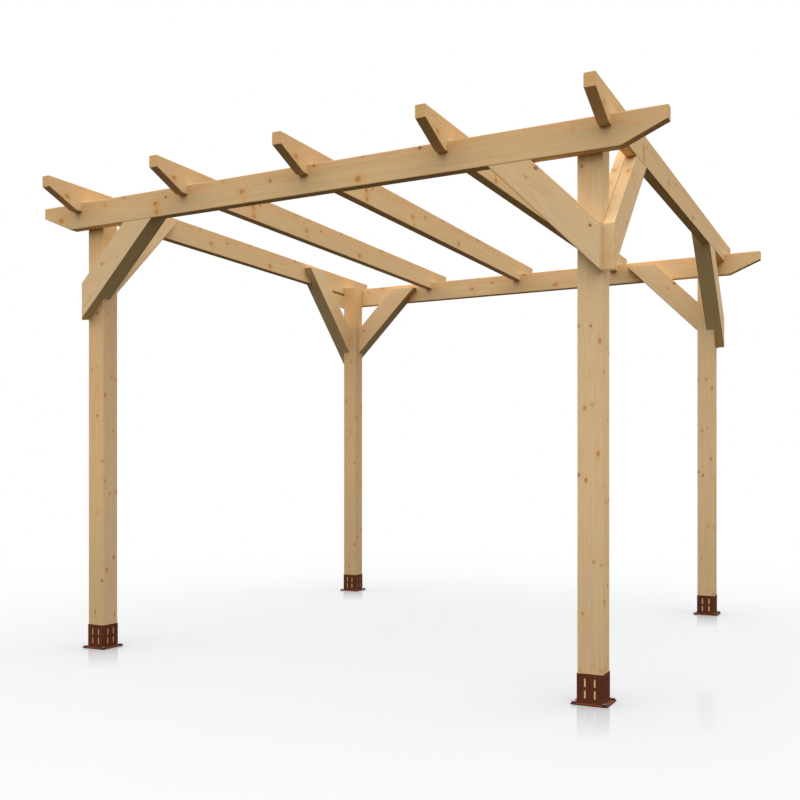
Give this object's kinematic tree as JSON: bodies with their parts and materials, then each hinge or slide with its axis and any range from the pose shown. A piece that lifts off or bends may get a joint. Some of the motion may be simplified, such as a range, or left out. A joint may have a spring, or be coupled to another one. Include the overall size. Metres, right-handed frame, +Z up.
{
  "type": "timber garden pergola",
  "caption": "Free-standing square pergola of planed softwood: posts in bolt-down steel shoes, twin-board knee braces, beams with tapered ends and notched rafters across them.",
  "frame": {"origin": "centre of the square footprint at ground level, on the underside of the shoe plates", "axes": "+X along the beams to the right, +Y along the rafters away from the front, +Z up"},
  "size_m": [3, 3, 2.2105],
  "materials": {
    "post_timber": "planed pale softwood with fine vertical grain and small knots, unpainted, satin",
    "beam_timber": "planed pale softwood with grain along the beam and small knots, unpainted, satin",
    "rafter_timber": "planed pale softwood with grain along the rafter and small knots, unpainted, satin",
    "brace_timber": "planed pale softwood with grain along the board at 45 degrees, unpainted, satin",
    "shoe_steel": "dark red-brown textured paint on sheet steel, matt, rustier at the plate's edges",
    "bolt_steel": "dark zinc-plated hexagon bolts and washers, worn grey on top"
  },
  "bodies": {
    "root": {"post_front_left": "post_timber", "shoe_front_left": "shoe_steel", "anchor_bolts_front_left": "bolt_steel", "brace_front_left_beam_outer": "brace_timber", "brace_front_left_beam_inner": "brace_timber", "brace_front_left_rafter_outer": "brace_timber", "brace_front_left_rafter_inner": "brace_timber", "post_front_right": "post_timber", "shoe_front_right": "shoe_steel", "anchor_bolts_front_right": "bolt_steel", "brace_front_right_beam_outer": "brace_timber", "brace_front_right_beam_inner": "brace_timber", "brace_front_right_rafter_outer": "brace_timber", "brace_front_right_rafter_inner": "brace_timber", "post_rear_left": "post_timber", "shoe_rear_left": "shoe_steel", "anchor_bolts_rear_left": "bolt_steel", "brace_rear_left_beam_outer": "brace_timber", "brace_rear_left_beam_inner": "brace_timber", "brace_rear_left_rafter_outer": "brace_timber", "brace_rear_left_rafter_inner": "brace_timber", "post_rear_right": "post_timber", "shoe_rear_right": "shoe_steel", "anchor_bolts_rear_right": "bolt_steel", "brace_rear_right_beam_outer": "brace_timber", "brace_rear_right_beam_inner": "brace_timber", "brace_rear_right_rafter_outer": "brace_timber", "brace_rear_right_rafter_inner": "brace_timber", "beam_front": "beam_timber", "beam_rear": "beam_timber", "rafter_left_end": "rafter_timber", "rafter_left_inner": "rafter_timber", "rafter_centre": "rafter_timber", "rafter_right_inner": "rafter_timber", "rafter_right_end": "rafter_timber"}
  },
  "joints": []
}
